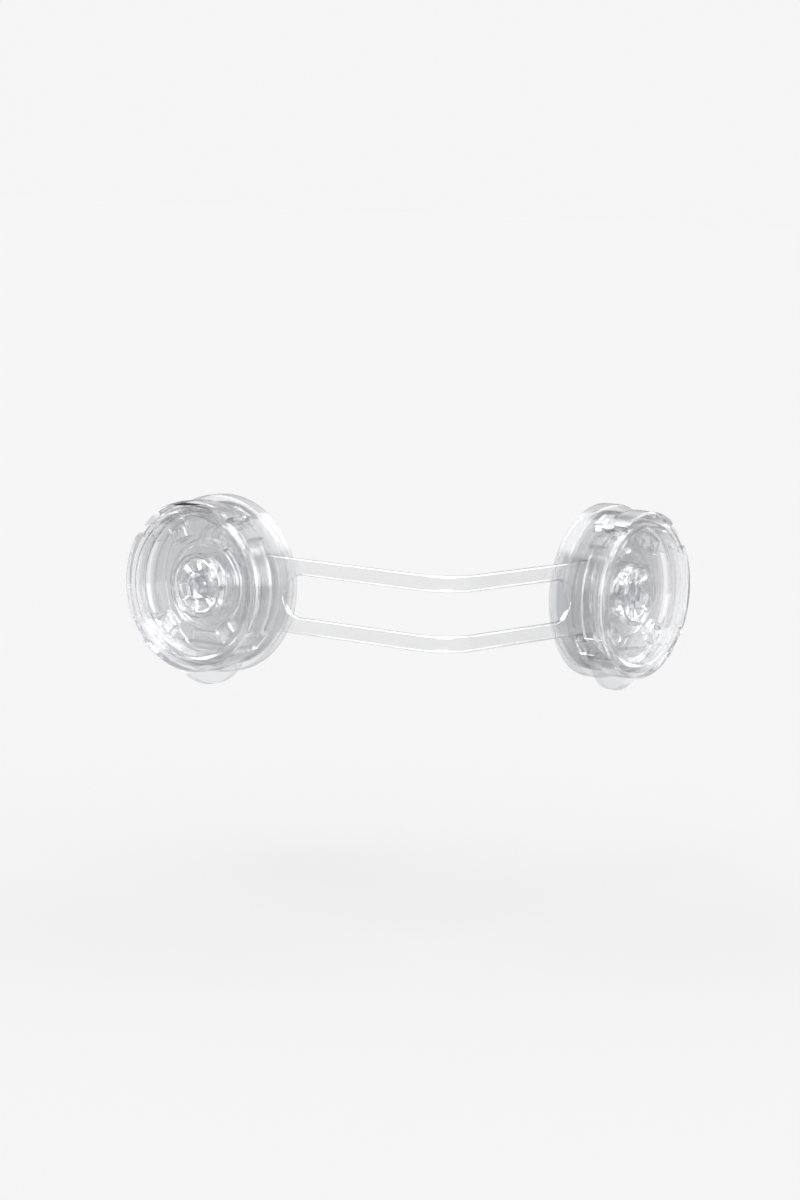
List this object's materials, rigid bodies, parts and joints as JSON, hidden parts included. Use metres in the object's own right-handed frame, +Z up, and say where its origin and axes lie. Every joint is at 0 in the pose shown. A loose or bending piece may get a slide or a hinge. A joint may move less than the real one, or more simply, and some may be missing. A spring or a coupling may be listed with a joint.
{
  "type": "cabinet safety lock",
  "caption": "Clear plastic cabinet safety lock with two round stick-on heads, joined round a corner by a slotted L-shaped strap, each released by a thumb tab.",
  "frame": {"origin": "centre of the front head's adhesive face, where its axis meets the drawer's front face", "axes": "+X along the drawer front from the front head towards the corner, +Y into the wall behind the front head and back along the cabinet's side, +Z up; both thumb tabs point to -Z"},
  "size_m": [0.1092, 0.1109, 0.0499],
  "materials": {
    "clear_plastic": "polished, clear",
    "clear_latch_plastic": "polished, clear, slightly cooler",
    "clear_adhesive": "soft, clear, slightly cloudy"
  },
  "bodies": {
    "front_mount": {"front_adhesive_pad": "clear_adhesive", "front_wall_plate": "clear_plastic", "front_pivot_stud": "clear_plastic"},
    "strap_assembly": {"strap": "clear_plastic", "front_housing": "clear_plastic", "front_deck": "clear_plastic", "front_bow_spring": "clear_latch_plastic", "front_cap": "clear_plastic", "front_rivet_body": "clear_latch_plastic", "front_rivet_pin": "clear_plastic", "side_housing": "clear_plastic", "side_deck": "clear_plastic", "side_bow_spring": "clear_latch_plastic", "side_cap": "clear_plastic", "side_rivet_body": "clear_latch_plastic", "side_rivet_pin": "clear_plastic"},
    "front_latch": {"front_thumb_latch": "clear_latch_plastic"},
    "side_latch": {"side_thumb_latch": "clear_latch_plastic"},
    "side_mount": {"side_adhesive_pad": "clear_adhesive", "side_wall_plate": "clear_plastic", "side_pivot_stud": "clear_plastic"}
  },
  "joints": [
    {"name": "front_swivel", "type": "hinge", "parent": "front_mount", "child": "strap_assembly", "pos_m": [0, 0, 0], "axis": [0, 1, 0], "continuous": true},
    {"name": "side_swivel", "type": "hinge", "parent": "strap_assembly", "child": "side_mount", "pos_m": [0.069, 0.0706, 0], "axis": [1, 0, 0], "continuous": true},
    {"name": "front_latch_press", "type": "slide", "parent": "strap_assembly", "child": "front_latch", "axis": [0, 0, 1], "range_m": [0, 0.0026], "stiffness_N_per_m": 1500, "springref_m": -0.001, "deforming": ["front_bow_spring"]},
    {"name": "side_latch_press", "type": "slide", "parent": "strap_assembly", "child": "side_latch", "axis": [0, 0, 1], "range_m": [0, 0.0026], "stiffness_N_per_m": 1500, "springref_m": -0.001, "deforming": ["side_bow_spring"]}
  ]
}
